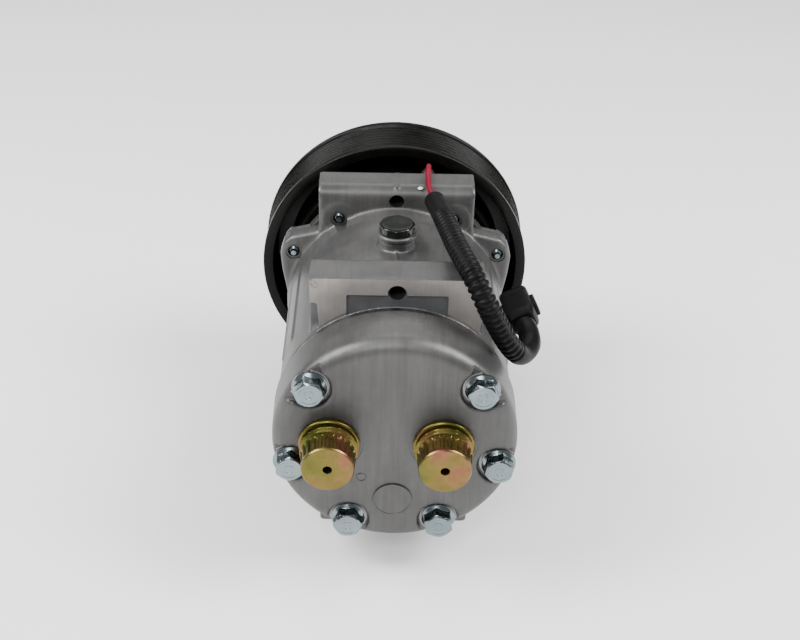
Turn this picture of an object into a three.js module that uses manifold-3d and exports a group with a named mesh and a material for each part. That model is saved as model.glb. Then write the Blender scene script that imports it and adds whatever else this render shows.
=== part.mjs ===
// A seven-cylinder wobble-plate air-conditioning compressor with its clutch, pulley and coil lead.
// Millimetres. +Y runs along the shaft towards the pulley, +Z is up, +X is right seen from the rear head.
import * as THREE from 'three';
import { mergeVertices } from 'three/addons/utils/BufferGeometryUtils.js';
import Module from 'manifold-3d';

const wasm = await Module();
wasm.setup();

// ---------- driving dimensions ----------
const GAP = 0.3; // between pieces that touch
const PAST = 1; // how far a cutter runs past the face that it cuts

// stations along the shaft, from the plane where the head bolts' flanges end
const HEAD_REAR = -1.2;
const HEAD_FRONT = 26.4;
const POCKET_FLOOR = 3.5;
const FOOT = { inner: 20, outer: 36.8, front: 14, low: -51.9, high: -38 }; // the floor beside each lower pocket
const FOOT_REAR = 4;
const PLATE_FRONT = 30.7;
const BLOCK_REAR = 31;
const BORE_END = 80;
const BLOCK_FRONT = 149.4;
const COVER_THICK = 8;
const NOSE_END = 197;
const PULLEY_REAR = 169.9;
const FRICTION_FACE = 203.3;
const SHAFT_END = 213;
const CAP_END = -22;

// pumping works
const CYLINDERS = 7;
const PITCH = (2 * Math.PI) / CYLINDERS;
const BORE_RADIUS = 14.65;
const PISTON_RADIUS = 14.2;
const TILT = THREE.MathUtils.degToRad(23); // of the wobble plate
const SOCKET_CIRCLE = 40; // radius of the rod sockets in the plate
const NUTATION_Y = 111; // where the tilted plate's plane crosses the shaft axis
const BALL_RADIUS = 7;
const SMALL_BALL_RADIUS = 6;
const SOCKET_PLAY = 0.65; // faceted balls need this much room in faceted sockets
const CROWN_CLEARANCE = 1;
const PISTON_LENGTH = 24;
const PISTON_BALL_DEPTH = 18; // from the crown to the rod's small ball
const ROD_RADIUS = 4.2;

// castings
const HEAD_RADIUS = 60;
const BLOCK_RADIUS = 58.5;
const COLLAR_RADIUS = 60.5; // of the block's collar between the wings
const PLUG_BOSS_RADIUS = 9.5;
const CRANKCASE_RADIUS = 53;
const HEAD_BOLT_CIRCLE = 52;
const EAR_HALF_WIDTH = 42;
const EAR_TOP = 72;
const EAR_BORE_Z = 64;
const EAR_BORE_RADIUS = 5.2;
const EAR_WELL_RADIUS = 4.1; // of the hole that runs forwards into each ear's bore
const REAR_EAR = { from: 34, to: 53.5, eye: 44 };
const FRONT_EAR = { from: 128.5, to: BLOCK_FRONT, eye: 139 };
const WING = { rear: 128, front: 138.5 }; // the plates at the sides that the cover's arms are bolted to

// smoothness: sides of large, middling and small round shapes
const BIG = 36;
const MIDDLE = 18;
const SMALL = 10;
const FINE = 12; // balls and their sockets

// the tilted plate's sockets trace a circle of this radius round each bore's axis, twice a turn
const DRIFT = (SOCKET_CIRCLE * (1 - Math.cos(TILT))) / 2;
const BORE_CIRCLE = SOCKET_CIRCLE - DRIFT;
const HALF_STROKE = SOCKET_CIRCLE * Math.sin(TILT);
const ROD_REACH = NUTATION_Y - HALF_STROKE - (BLOCK_REAR + CROWN_CLEARANCE + PISTON_BALL_DEPTH);

// ---------- solids ----------
// Makes a manifold solid of a closed three.js geometry, whichever way its faces wind.
function solid(geometry) {
  const bare = geometry.clone();
  bare.deleteAttribute('normal');
  bare.deleteAttribute('uv');
  const merged = mergeVertices(bare, 1e-4);
  const place = merged.getAttribute('position');
  const corner = (i) => new THREE.Vector3().fromBufferAttribute(place, i);
  const faces = [];
  let volume = 0;
  for (let i = 0; i < merged.index.count; i += 3) {
    const [a, b, c] = [0, 1, 2].map((k) => merged.index.getX(i + k));
    if (a !== b && b !== c && c !== a) {
      faces.push([a, b, c]);
      volume += corner(a).dot(corner(b).cross(corner(c)));
    }
  }
  const wound = volume < 0 ? faces.map(([a, b, c]) => [a, c, b]) : faces;
  const vertProperties = new Float32Array(place.array);
  const triVerts = new Uint32Array(wound.flat());
  return new wasm.Manifold(new wasm.Mesh({ numProp: 3, vertProperties, triVerts }));
}

function geometryOf(body) {
  const mesh = body.getMesh();
  const geometry = new THREE.BufferGeometry();
  geometry.setAttribute('position', new THREE.BufferAttribute(mesh.vertProperties, 3));
  geometry.setIndex(new THREE.BufferAttribute(mesh.triVerts, 1));
  const faceted = geometry.toNonIndexed();
  faceted.computeVertexNormals();
  return faceted;
}

const join = (first, ...others) => others.reduce((sum, next) => sum.add(next), first);
const cut = (first, ...others) => others.reduce((rest, next) => rest.subtract(next), first);

// A body of revolution about the shaft axis; points are [radius, y] round the section.
function turned(points, sides = BIG) {
  const [first] = points;
  const onAxis = first[0] === 0;
  const loop = onAxis ? points : [...points, first];
  return solid(new THREE.LatheGeometry(loop.map(([r, y]) => new THREE.Vector2(r, y)), sides));
}

function alongY(x, z, radius, from, to, sides = SMALL) {
  const rod = new THREE.CylinderGeometry(radius, radius, to - from, sides);
  return solid(rod.translate(x, (from + to) / 2, z));
}

function alongX(y, z, radius, length, sides = MIDDLE) {
  const rod = new THREE.CylinderGeometry(radius, radius, length, sides);
  return solid(rod.rotateZ(Math.PI / 2).translate(0, y, z));
}

function alongZ(x, y, radius, from, to, sides = MIDDLE) {
  const rod = new THREE.CylinderGeometry(radius, radius, to - from, sides);
  return solid(rod.rotateX(Math.PI / 2).translate(x, y, (from + to) / 2));
}

function ball(radius, x, y, z) {
  return solid(new THREE.SphereGeometry(radius, FINE, 8).rotateX(Math.PI / 2).translate(x, y, z));
}

// A box between two corners.
function block(low, high) {
  const [a, b] = [new THREE.Vector3(...low), new THREE.Vector3(...high)];
  const size = b.clone().sub(a);
  const middle = a.clone().add(b).multiplyScalar(0.5);
  return solid(new THREE.BoxGeometry(size.x, size.y, size.z).translate(middle.x, middle.y, middle.z));
}

// An outline in the XZ plane, filled from one station to another.
function slab(shape, from, to, curveSegments = 6) {
  const flat = new THREE.ExtrudeGeometry(shape, { depth: to - from, bevelEnabled: false, curveSegments });
  return solid(flat.rotateX(Math.PI / 2).translate(0, to, 0));
}

// Angles run from +X towards +Z.
const polar = (radius, degrees) => {
  const angle = THREE.MathUtils.degToRad(degrees);
  return [radius * Math.cos(angle), radius * Math.sin(angle)];
};

// ---------- rear head and valve plate ----------
const HEAD_BOLT_ANGLES = Array.from({ length: 6 }, (_, k) => 90 + ((k + 1) * 360) / CYLINDERS);
const M8_RADIUS = 3.9;
const M8_HOLE = 4.35;
const PORTS = { suction: -31.6, discharge: 23.5 };
const PORT_Z = 1.5;
const PORT_HOLE = 6;
const VENT_RADIUS = 2;

function rearHead() {
  const shell = turned([
    [0, HEAD_REAR],
    [54, HEAD_REAR],
    [58.2, HEAD_REAR + 1.8],
    [HEAD_RADIUS, HEAD_REAR + 6],
    [HEAD_RADIUS, HEAD_FRONT],
    [0, HEAD_FRONT],
  ]);
  const pocketRadius = 10.5;
  const pockets = HEAD_BOLT_ANGLES.flatMap((angle) => {
    const [x, z] = polar(HEAD_BOLT_CIRCLE, angle);
    const opening = new THREE.BoxGeometry(20, POCKET_FLOOR - HEAD_REAR + PAST, 2 * pocketRadius);
    opening.translate(HEAD_BOLT_CIRCLE + 10, (POCKET_FLOOR + HEAD_REAR - PAST) / 2, 0);
    opening.rotateY(-THREE.MathUtils.degToRad(angle));
    return [
      alongY(x, z, pocketRadius, HEAD_REAR - PAST, POCKET_FLOOR, MIDDLE),
      solid(opening),
      alongY(x, z, M8_HOLE, POCKET_FLOOR - PAST, HEAD_FRONT + PAST),
    ];
  });
  const dischargeChamber = alongY(0, 0, 30, 14, HEAD_FRONT + PAST, MIDDLE);
  const suctionChamber = turned([[34, 8], [45, 8], [45, HEAD_FRONT + PAST], [34, HEAD_FRONT + PAST]], MIDDLE);
  const ports = [
    alongY(PORTS.suction, PORT_Z, PORT_HOLE, HEAD_REAR - PAST, 9, MIDDLE),
    alongY(PORTS.discharge, PORT_Z, PORT_HOLE, HEAD_REAR - PAST, 15, MIDDLE),
  ];
  const feet = [1, -1].map((side) => {
    const [left, right] = side > 0 ? [FOOT.inner, FOOT.outer] : [-FOOT.outer, -FOOT.inner];
    return block([left, FOOT_REAR, FOOT.low], [right, FOOT.front, FOOT.high]);
  });
  return cut(join(shell, ...feet), ...pockets, dischargeChamber, suctionChamber, ...ports);
}

const boreAngle = (i) => Math.PI / CYLINDERS + i * PITCH; // from +Z towards +X

function valvePlate() {
  const plate = alongY(0, 0, BLOCK_RADIUS, HEAD_FRONT + GAP, PLATE_FRONT, BIG);
  const bolts = HEAD_BOLT_ANGLES.map((angle) => {
    const [x, z] = polar(HEAD_BOLT_CIRCLE, angle);
    return alongY(x, z, M8_HOLE, HEAD_FRONT, BLOCK_REAR, 8);
  });
  const ports = Array.from({ length: CYLINDERS }, (_, i) => boreAngle(i)).flatMap((angle) =>
    [[27, 2.4], [40, 3.2]].map(([at, radius]) =>
      alongY(at * Math.sin(angle), at * Math.cos(angle), radius, HEAD_FRONT, BLOCK_REAR, 6),
    ),
  );
  return cut(plate, ...bolts, ...ports);
}

// A hex bolt whose head starts at station `seat` and points along -Y or +Y.
function bolt(x, z, { seat, facing, flange, flangeThick, across, headHeight, shank, length }) {
  const end = seat - facing * length;
  const top = seat + facing * (flangeThick + headHeight);
  const neck = seat + facing * flangeThick;
  const hex = new THREE.CylinderGeometry(across / Math.sqrt(3), across / Math.sqrt(3), Math.abs(top - seat), 6);
  return join(
    alongY(x, z, flange, Math.min(seat, neck), Math.max(seat, neck), MIDDLE),
    solid(hex.translate(x, (top + seat) / 2, z)),
    alongY(x, z, shank, Math.min(neck, end), Math.max(neck, end)),
  );
}

const HEAD_BOLT = {
  seat: POCKET_FLOOR - GAP,
  facing: -1,
  flange: 8.5,
  flangeThick: 3.2,
  across: 13,
  headHeight: 6.3,
  shank: M8_RADIUS,
  length: 51.8,
};

// ---------- ports ----------
function portFitting(x) {
  const thread = Array.from({ length: 4 }, (_, k) => -4.4 - k * 1.6);
  const profile = [
    [4, -17.6],
    [4, 6],
    [5.6, 6],
    [5.6, HEAD_REAR - GAP],
    [14.85, HEAD_REAR - GAP],
    [14.85, -4],
    ...thread.flatMap((y) => [[12.7, y], [13.5, y - 0.8]]),
    [12.7, -10.6],
    [9.5, -10.6],
    [9.5, -17.6],
  ];
  return turned(profile, 16).translate(x, 0, PORT_Z);
}

function portCap(x) {
  const cup = turned([
    [0, CAP_END],
    [12.4, CAP_END],
    [13.3, CAP_END + 2],
    [13.3, -10.9],
    [9.8, -10.9],
    [9.8, -18],
    [0, -18],
  ], MIDDLE);
  return cut(cup, alongY(0, 0, VENT_RADIUS, CAP_END - PAST, -18 + PAST, 8)).translate(x, 0, PORT_Z);
}

// ---------- cylinder block, crankcase and its mounting ears ----------
const WING_BOLTS = [[65, 30.5], [65, 149.5], [62.2, 60], [62.2, 120], [62.2, 240], [62.2, 300]];
const M6_RADIUS = 2.9;
const M6_HOLE = 3.3;
const PLUG_Y = 93;
const PLUG_HOLE = 5.4;
const STEM_HOLE = 9.3;

// Lugs round the four cover bolts that sit under the ears.
function lugs(radius, from, to) {
  return WING_BOLTS.slice(2).map(([at, angle]) => alongY(...polar(at, angle), radius, from, to, MIDDLE));
}

// The side plates' outline on the right, from the ear down to where it runs into the barrel.
const WING_OUTLINE = [[38, 46.6], [57.5, 41.8], [61.6, 38], [63.6, 31], [62.6, 20], [60, 5], [38, 5]];

// The part of each side plate beside the ear, which runs on to the block's front.
const ROOT_OUTLINE = [[38, 46.6], [47, 44.385], [47, 30], [38, 30]];
const ROOT_EDGE = 47;

function wings(from, to, inset, outline = WING_OUTLINE) {
  return [1, -1].map((side) => {
    const corners = outline.map(([x, z]) => new THREE.Vector2(side * (x - inset), z - inset));
    return slab(new THREE.Shape(side > 0 ? corners : corners.reverse()), from, to);
  });
}

function wingHoles(from, to) {
  return WING_BOLTS.map(([at, angle]) => alongY(...polar(at, angle), M6_HOLE, from, to));
}

// A mounting ear: a bar across the casting, above it or, with side -1, below it.
function ear({ from, to }, side, edge) {
  const shape = new THREE.Shape();
  shape.moveTo(-EAR_HALF_WIDTH, 38);
  shape.lineTo(EAR_HALF_WIDTH, 38);
  shape.lineTo(EAR_HALF_WIDTH, EAR_TOP - edge);
  shape.lineTo(EAR_HALF_WIDTH - edge, EAR_TOP);
  shape.lineTo(edge - EAR_HALF_WIDTH, EAR_TOP);
  shape.lineTo(-EAR_HALF_WIDTH, EAR_TOP - edge);
  shape.closePath();
  const bar = slab(shape, from, to);
  return side > 0 ? bar : bar.rotate([0, 180, 0]);
}

function cylinderBlock() {
  const casting = alongY(0, 0, BLOCK_RADIUS, BLOCK_REAR, BLOCK_FRONT, BIG);
  const ears = [1, -1].flatMap((side) => [ear(REAR_EAR, side, 1), ear(FRONT_EAR, side, 1)]);
  const plugBoss = alongZ(0, PLUG_Y, PLUG_BOSS_RADIUS, 50, 63.4);
  const rim = alongY(0, 0, COLLAR_RADIUS, WING.rear, WING.front, BIG);
  const roots = wings(WING.rear, BLOCK_FRONT, 0, ROOT_OUTLINE);
  const sides = [...lugs(9, WING.rear, BLOCK_FRONT), ...wings(WING.rear, WING.front, 0), ...roots];
  const whole = join(casting, rim, ...sides, ...ears, plugBoss);
  const bores = Array.from({ length: CYLINDERS }, (_, i) => {
    const angle = boreAngle(i);
    const [x, z] = [BORE_CIRCLE * Math.sin(angle), BORE_CIRCLE * Math.cos(angle)];
    return alongY(x, z, BORE_RADIUS, BLOCK_REAR - PAST, BORE_END + PAST, MIDDLE);
  });
  const eyes = [1, -1].flatMap((side) =>
    [REAR_EAR, FRONT_EAR].flatMap(({ from, eye }) => [
      alongX(eye, side * EAR_BORE_Z, EAR_BORE_RADIUS, 2 * EAR_HALF_WIDTH + 2 * PAST, MIDDLE),
      alongY(0, side * EAR_BORE_Z, EAR_WELL_RADIUS, from - PAST, eye, MIDDLE),
    ]),
  );
  const boltHoles = HEAD_BOLT_ANGLES.map((angle) => {
    const [x, z] = polar(HEAD_BOLT_CIRCLE, angle);
    return alongY(x, z, M8_HOLE, BLOCK_REAR - PAST, 57);
  });
  return cut(
    whole,
    alongY(0, 0, CRANKCASE_RADIUS, BORE_END, BLOCK_FRONT + PAST, BIG),
    alongY(0, 0, STEM_HOLE, 58, BORE_END + PAST, MIDDLE),
    alongZ(0, PLUG_Y, PLUG_HOLE, 45, 64, SMALL),
    ...bores,
    ...eyes,
    ...boltHoles,
    ...wingHoles(WING.rear - PAST, BLOCK_FRONT + PAST),
  );
}

function oilPlug() {
  const collar = alongZ(0, PLUG_Y, 10.75, 63.7, 67.3);
  const head = alongZ(0, PLUG_Y, 9.5, 67, 71);
  const shank = alongZ(0, PLUG_Y, 5, 54, 64, SMALL);
  return join(collar, head, shank);
}

// ---------- front cover with its nose ----------
const COVER_REAR = BLOCK_FRONT + GAP;
const COVER_FRONT = COVER_REAR + COVER_THICK;
const NOSE_RADIUS = 17.5;

const ARM = { rear: WING.front + GAP, front: 143.5, inset: 1.2 };
const BRIDGE = { x: 56.5, z: 22, wide: 12, tall: 9 }; // from each arm's plate to the cover's disc

// Arms that reach back from the cover, past the barrel's sides, to the wings.
function coverArms() {
  const plates = wings(ARM.rear, ARM.front, ARM.inset);
  const bridges = [1, -1].map((side) => {
    const bridge = new THREE.BoxGeometry(BRIDGE.wide, COVER_FRONT - ARM.rear, BRIDGE.tall);
    bridge.translate(side * BRIDGE.x, (COVER_FRONT + ARM.rear) / 2, BRIDGE.z);
    return solid(bridge);
  });
  const roomEnd = COVER_REAR + 0.2;
  const barrelRoom = alongY(0, 0, BLOCK_RADIUS + 0.5, ARM.rear - PAST, roomEnd, BIG);
  const rootEdge = ROOT_EDGE + GAP;
  const earRoom = block([-rootEdge, ARM.rear - PAST, 0], [rootEdge, roomEnd, EAR_TOP]);
  return [...plates, ...bridges].map((piece) => cut(piece, barrelRoom, earRoom));
}

function frontHousing() {
  const nose = turned([
    [0, COVER_REAR],
    [19.5, COVER_REAR],
    [19.5, COVER_FRONT + 3],
    [NOSE_RADIUS, COVER_FRONT + 3],
    [NOSE_RADIUS, NOSE_END],
    [0, NOSE_END],
  ], MIDDLE);
  const bore = turned([
    [0, COVER_REAR - PAST],
    [13.3, COVER_REAR - PAST],
    [13.3, 171],
    [9.7, 171],
    [9.7, 174.5],
    [15.3, 174.5],
    [15.3, NOSE_END + PAST],
    [0, NOSE_END + PAST],
  ], MIDDLE);
  const disc = alongY(0, 0, 60, COVER_REAR, COVER_FRONT, BIG);
  const cover = join(disc, ...lugs(8.5, COVER_REAR, COVER_FRONT), nose, ...coverArms());
  return cut(cover, bore, ...wingHoles(WING.front, COVER_FRONT + PAST));
}

// The bolts in the arms are shorter than the four under the ears.
const coverBolt = (k) => ({
  seat: (k < 2 ? ARM.front : COVER_FRONT) + GAP,
  facing: 1,
  flange: 5.6,
  flangeThick: 1.2,
  across: 9.6,
  headHeight: 3.4,
  shank: M6_RADIUS,
  length: k < 2 ? 17.4 : 31.6,
});

// ---------- shaft, rotor and bearings ----------
const SHAFT_RADIUS = 9;
const SPLINE_RADIUS = 7.5;
const THREAD_RADIUS = 3.9;
const ROTOR_FRONT = 146.1;
const ROTOR_RADIUS = 46;
const ROTOR_FACE = 12.6; // of its slanted face, from the nutation centre along the plate's axis

function driveShaft() {
  return turned([
    [0, 130],
    [8, 130],
    [SHAFT_RADIUS, 131],
    [SHAFT_RADIUS, 186],
    [SPLINE_RADIUS, 187],
    [SPLINE_RADIUS, 203.8],
    [THREAD_RADIUS, 204.2],
    [THREAD_RADIUS, SHAFT_END],
    [0, SHAFT_END],
  ], MIDDLE);
}

// Turns a solid made about the shaft axis at y = 0 into the plate's tilted frame.
const tilted = (body) => body.rotate([0, 0, THREE.MathUtils.radToDeg(TILT)]).translate(0, NUTATION_Y, 0);

function camRotor() {
  const wedge = alongY(0, 0, ROTOR_RADIUS, 95, ROTOR_FRONT, BIG);
  const belowFace = tilted(block([-90, ROTOR_FACE - 90, -90], [90, ROTOR_FACE, 90]));
  return cut(wedge, belowFace, alongY(0, 0, SHAFT_RADIUS + 0.4, 95, ROTOR_FRONT + PAST, MIDDLE));
}

const ring = (inner, outer, from, to, sides = MIDDLE) =>
  turned([[inner, from], [outer, from], [outer, to], [inner, to]], sides);

// ---------- wobble plate, fixed gear and pivot ball ----------
const PLATE_RADIUS = 50;
const PLATE_BACK = 9;
const PLATE_FACE = -3;
const CONE = Math.tan(TILT / 2); // slope of the pitch cone that both gears share
const ROOT = 1.3;
const ADDENDUM = 0.7;
const TEETH = 14;
const PIVOT_RADIUS = 6.4;

// Teeth of a face gear on its cone, pointing towards -Y; `turn` shifts them round.
function gearTeeth(turn) {
  const [inner, outer, width] = [12, 18, 1.8];
  const depth = ROOT + ADDENDUM + 0.5;
  return Array.from({ length: TEETH }, (_, k) => {
    const tooth = new THREE.BoxGeometry(outer - inner, depth, width);
    tooth.translate((inner + outer) / 2, depth / 2 - ADDENDUM, 0);
    tooth.rotateZ(TILT / 2);
    tooth.rotateY(((k + turn) * 2 * Math.PI) / TEETH);
    return solid(tooth);
  });
}

// Points of a circle's arc in a section, centred on the axis at height y.
function arc(radius, y, fromDegrees, toDegrees, steps) {
  return Array.from({ length: steps + 1 }, (_, k) => {
    const angle = THREE.MathUtils.degToRad(fromDegrees + ((toDegrees - fromDegrees) * k) / steps);
    return [Math.max(0, radius * Math.sin(angle)), y + radius * Math.cos(angle)];
  });
}

function wobblePlate() {
  const seat = PIVOT_RADIUS + SOCKET_PLAY;
  const seatMouth = THREE.MathUtils.radToDeg(Math.acos((11 * CONE + ROOT) / seat));
  const section = [
    [0, PLATE_BACK],
    [PLATE_RADIUS - 2, PLATE_BACK],
    [PLATE_RADIUS, PLATE_BACK - 2],
    [PLATE_RADIUS, PLATE_FACE],
    [31, PLATE_FACE],
    [19.5, 18.5 * CONE + ROOT],
    [18.5, 18.5 * CONE + ROOT],
    [11, 11 * CONE + ROOT],
    ...arc(seat, 0, seatMouth, 0, 4),
  ];
  const sockets = Array.from({ length: CYLINDERS }, (_, i) => {
    const angle = boreAngle(i);
    const [x, z] = [SOCKET_CIRCLE * Math.sin(angle), SOCKET_CIRCLE * Math.cos(angle)];
    return ball(BALL_RADIUS + SOCKET_PLAY, x, 0, z);
  });
  return tilted(cut(join(turned(section, MIDDLE), ...gearTeeth(0.5)), ...sockets));
}

function fixedGear() {
  const seat = PIVOT_RADIUS + SOCKET_PLAY;
  const seatMouth = THREE.MathUtils.radToDeg(Math.acos((11 * CONE + ROOT) / seat));
  const section = [
    ...arc(seat, 0, 0, seatMouth, 4),
    [11, 11 * CONE + ROOT],
    [18.5, 18.5 * CONE + ROOT],
    [18.5, 13],
    [9, 15],
    [9, 49],
    [0, 49],
  ];
  const gear = join(turned(section, MIDDLE), ...gearTeeth(0));
  return gear.rotate([180, 0, 0]).translate(0, NUTATION_Y, 0);
}

// ---------- rods and pistons ----------
// A rod runs from its socket in the tilted plate, at `angle` round the shaft, to its piston's ball.
function rodEnds(angle) {
  const [s, c] = [Math.sin(angle), Math.cos(angle)];
  const socket = new THREE.Vector3(
    SOCKET_CIRCLE * s * Math.cos(TILT),
    NUTATION_Y + SOCKET_CIRCLE * s * Math.sin(TILT),
    SOCKET_CIRCLE * c,
  );
  const pin = new THREE.Vector3(BORE_CIRCLE * s, socket.y - ROD_REACH, BORE_CIRCLE * c);
  return { socket, pin };
}

function rod(angle) {
  const { socket, pin } = rodEnds(angle);
  const length = socket.distanceTo(pin);
  const start = BALL_RADIUS + GAP + 0.05;
  const neck = THREE.MathUtils.radToDeg(Math.asin(ROD_RADIUS / SMALL_BALL_RADIUS));
  const section = [
    [0, start],
    [ROD_RADIUS, start],
    ...arc(SMALL_BALL_RADIUS, length, 180 - neck, 0, 4),
  ];
  const shape = new THREE.LatheGeometry(section.map(([r, y]) => new THREE.Vector2(r, y)), 8);
  const direction = pin.clone().sub(socket).normalize();
  shape.applyQuaternion(new THREE.Quaternion().setFromUnitVectors(new THREE.Vector3(0, 1, 0), direction));
  return solid(shape.translate(socket.x, socket.y, socket.z));
}

function piston(angle) {
  const { pin } = rodEnds(angle);
  const seat = SMALL_BALL_RADIUS + SOCKET_PLAY;
  const mouth = THREE.MathUtils.radToDeg(Math.acos(2.5 / seat));
  const crown = pin.y - PISTON_BALL_DEPTH;
  const section = [
    [0, 0],
    [PISTON_RADIUS, 0],
    [PISTON_RADIUS, PISTON_LENGTH],
    [11.8, PISTON_LENGTH],
    [11.8, 20.5],
    ...arc(seat, PISTON_BALL_DEPTH, mouth, 180, 4),
  ];
  return turned(section, MIDDLE).translate(pin.x, crown, pin.z);
}

// ---------- clutch ----------
const GROOVES = 8;
const GROOVE_PITCH = 3.56;
const RIM_RADIUS = 77.3;
const RIM_INNER = 71.3;
const PULLEY_FRONT = 205;
const COIL = { inner: 32, outer: 56.1, front: 194 };

function pulley() {
  const side = (PULLEY_FRONT - PULLEY_REAR - GROOVES * GROOVE_PITCH) / 2;
  const first = PULLEY_REAR + side;
  const valleys = Array.from({ length: GROOVES }, (_, k) => first + k * GROOVE_PITCH).flatMap((y) => [
    [RIM_RADIUS - 0.4, y],
    [RIM_RADIUS - 3, y + GROOVE_PITCH / 2],
  ]);
  return turned([
    [RIM_INNER, PULLEY_REAR],
    [RIM_RADIUS - 0.8, PULLEY_REAR],
    [RIM_RADIUS, PULLEY_REAR + 0.8],
    ...valleys,
    [RIM_RADIUS - 0.4, PULLEY_FRONT - side],
    [RIM_RADIUS, PULLEY_FRONT - 0.8],
    [RIM_RADIUS - 0.8, PULLEY_FRONT],
    [RIM_INNER, PULLEY_FRONT],
    [RIM_INNER, 199.5],
    [60.9, 199.5],
    [60.9, FRICTION_FACE],
    [26, FRICTION_FACE],
    [26, 196.5],
    [27.8, 196.5],
    [27.8, 170.5],
    [31.3, 170.5],
    [31.3, 196.5],
    [56.8, 196.5],
    [56.8, 166.5],
    [60.9, 166.5],
    [60.9, 192],
    [RIM_INNER, 192],
  ]);
}

function fieldCoil() {
  const body = turned([
    [20, COVER_FRONT + GAP],
    [COIL.outer, COVER_FRONT + GAP],
    [COIL.outer, COIL.front],
    [COIL.inner, COIL.front],
    [COIL.inner, 161.5],
    [20, 161.5],
  ]);
  return join(body, block([13, 158.2, 48], [22, 165, 59]));
}

function clutchHub() {
  return turned([
    [SPLINE_RADIUS + 0.4, 199],
    [14, 199],
    [14, 209.2],
    [47, 209.2],
    [47, 211.2],
    [9.6, 211.2],
    [9.6, 204.4],
    [SPLINE_RADIUS + 0.4, 204.4],
  ], MIDDLE);
}

function hubNut() {
  const hex = new THREE.CylinderGeometry(7.5, 7.5, 6.4, 6).translate(0, 207.9, 0);
  return cut(solid(hex), alongY(0, 0, THREAD_RADIUS + 0.35, 200, 215));
}

// ---------- coil lead ----------
const LEAD_ROUTE = [
  [17.5, 161.6, 59.4],
  [17.6, 159, 70],
  [17.3, 150, 75],
  [16.8, 138, 75],
  [17.2, 125, 74.4],
  [19.5, 113, 73.8],
  [24, 87, 76],
  [28, 60, 78.4],
  [31, 44, 79.4],
  [35.5, 28, 78],
  [41.3, 20.5, 68.5],
  [48.2, 23, 53.5],
  [55.8, 28, 38.5],
  [61.8, 35, 30],
  [66.8, 44.5, 29],
  [66.9, 54, 30.4],
  [65.6, 61, 30.3],
].map((point) => new THREE.Vector3(...point));
const LEAD_RADIUS = 1.5;
const LOOM_RADIUS = 5.5;
const LOOM_START = 5; // the route point where the loom begins

// A round outline with straight sides.
function outline(radius, sides, Kind = THREE.Shape) {
  const points = Array.from({ length: sides }, (_, k) => {
    const angle = (k * 2 * Math.PI) / sides;
    return new THREE.Vector2(radius * Math.cos(angle), radius * Math.sin(angle));
  });
  return new Kind(points);
}

function tube(shape, route, steps) {
  const extrudePath = new THREE.CatmullRomCurve3(route);
  return solid(new THREE.ExtrudeGeometry(shape, { steps, extrudePath, bevelEnabled: false }));
}

function leadLoom() {
  const section = outline(LOOM_RADIUS, 10);
  section.holes.push(outline(3.2, 8, THREE.Path));
  return tube(section, LEAD_ROUTE.slice(LOOM_START), 22);
}

// The connector lies where the lead ends, in line with it, with its socket facing forwards.
function leadConnector() {
  const [width, height, length] = [16, 14, 32];
  const shell = block([-width / 2, 0, -height / 2], [width / 2, length, height / 2]);
  const socket = block([-6, length - 18, -4.5], [6, length + PAST, 4.5]);
  const latch = block([width / 2 - 1, 9, -4], [width / 2 + 3, 22, 4]);
  const body = cut(join(shell, latch), socket);
  const turn = THREE.MathUtils.radToDeg(Math.atan2(4, 31));
  const end = LEAD_ROUTE[LEAD_ROUTE.length - 1];
  return body.rotate([-9, -25, turn]).translate(end.x, end.y + 1.2, end.z);
}

// ---------- assembly ----------
const finishes = {
  castAluminium: { color: 0x8a8986, roughness: 0.5, metalness: 0.8 },
  machinedAluminium: { color: 0xb4b3b0, roughness: 0.35, metalness: 0.9 },
  zincSteel: { color: 0xc3c8cc, roughness: 0.3, metalness: 0.95 },
  yellowZinc: { color: 0xb8a24f, roughness: 0.35, metalness: 0.9 },
  steel: { color: 0x9a9c9e, roughness: 0.35, metalness: 0.95 },
  blackSteel: { color: 0x1c1c1b, roughness: 0.45, metalness: 0.6 },
  blackPlastic: { color: 0x111111, roughness: 0.45, metalness: 0 },
  redWire: { color: 0xa01c33, roughness: 0.45, metalness: 0 },
  coilResin: { color: 0x2a0f10, roughness: 0.5, metalness: 0 },
};

const compressor = new THREE.Group();
// the origin is the middle of the body, between the caps' ends and the shaft's
const assembly = new THREE.Group();
assembly.position.y = -(CAP_END + SHAFT_END) / 2;
compressor.add(assembly);

function add(name, body, finish) {
  const mesh = new THREE.Mesh(geometryOf(body), new THREE.MeshStandardMaterial(finishes[finish]));
  mesh.name = name;
  assembly.add(mesh);
}

add('rear_head', rearHead(), 'castAluminium');
add('valve_plate', valvePlate(), 'steel');
add('cylinder_block', cylinderBlock(), 'castAluminium');
add('front_housing', frontHousing(), 'castAluminium');
HEAD_BOLT_ANGLES.forEach((angle, i) => {
  add(`head_bolt_${i + 1}`, bolt(...polar(HEAD_BOLT_CIRCLE, angle), HEAD_BOLT), 'zincSteel');
});
WING_BOLTS.forEach(([at, angle], i) => {
  add(`cover_bolt_${i + 1}`, bolt(...polar(at, angle), coverBolt(i)), 'zincSteel');
});
add('oil_plug', oilPlug(), 'blackPlastic');
for (const [port, x] of Object.entries(PORTS)) {
  add(`${port}_fitting`, portFitting(x), 'yellowZinc');
  add(`${port}_cap`, portCap(x), 'yellowZinc');
}

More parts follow.
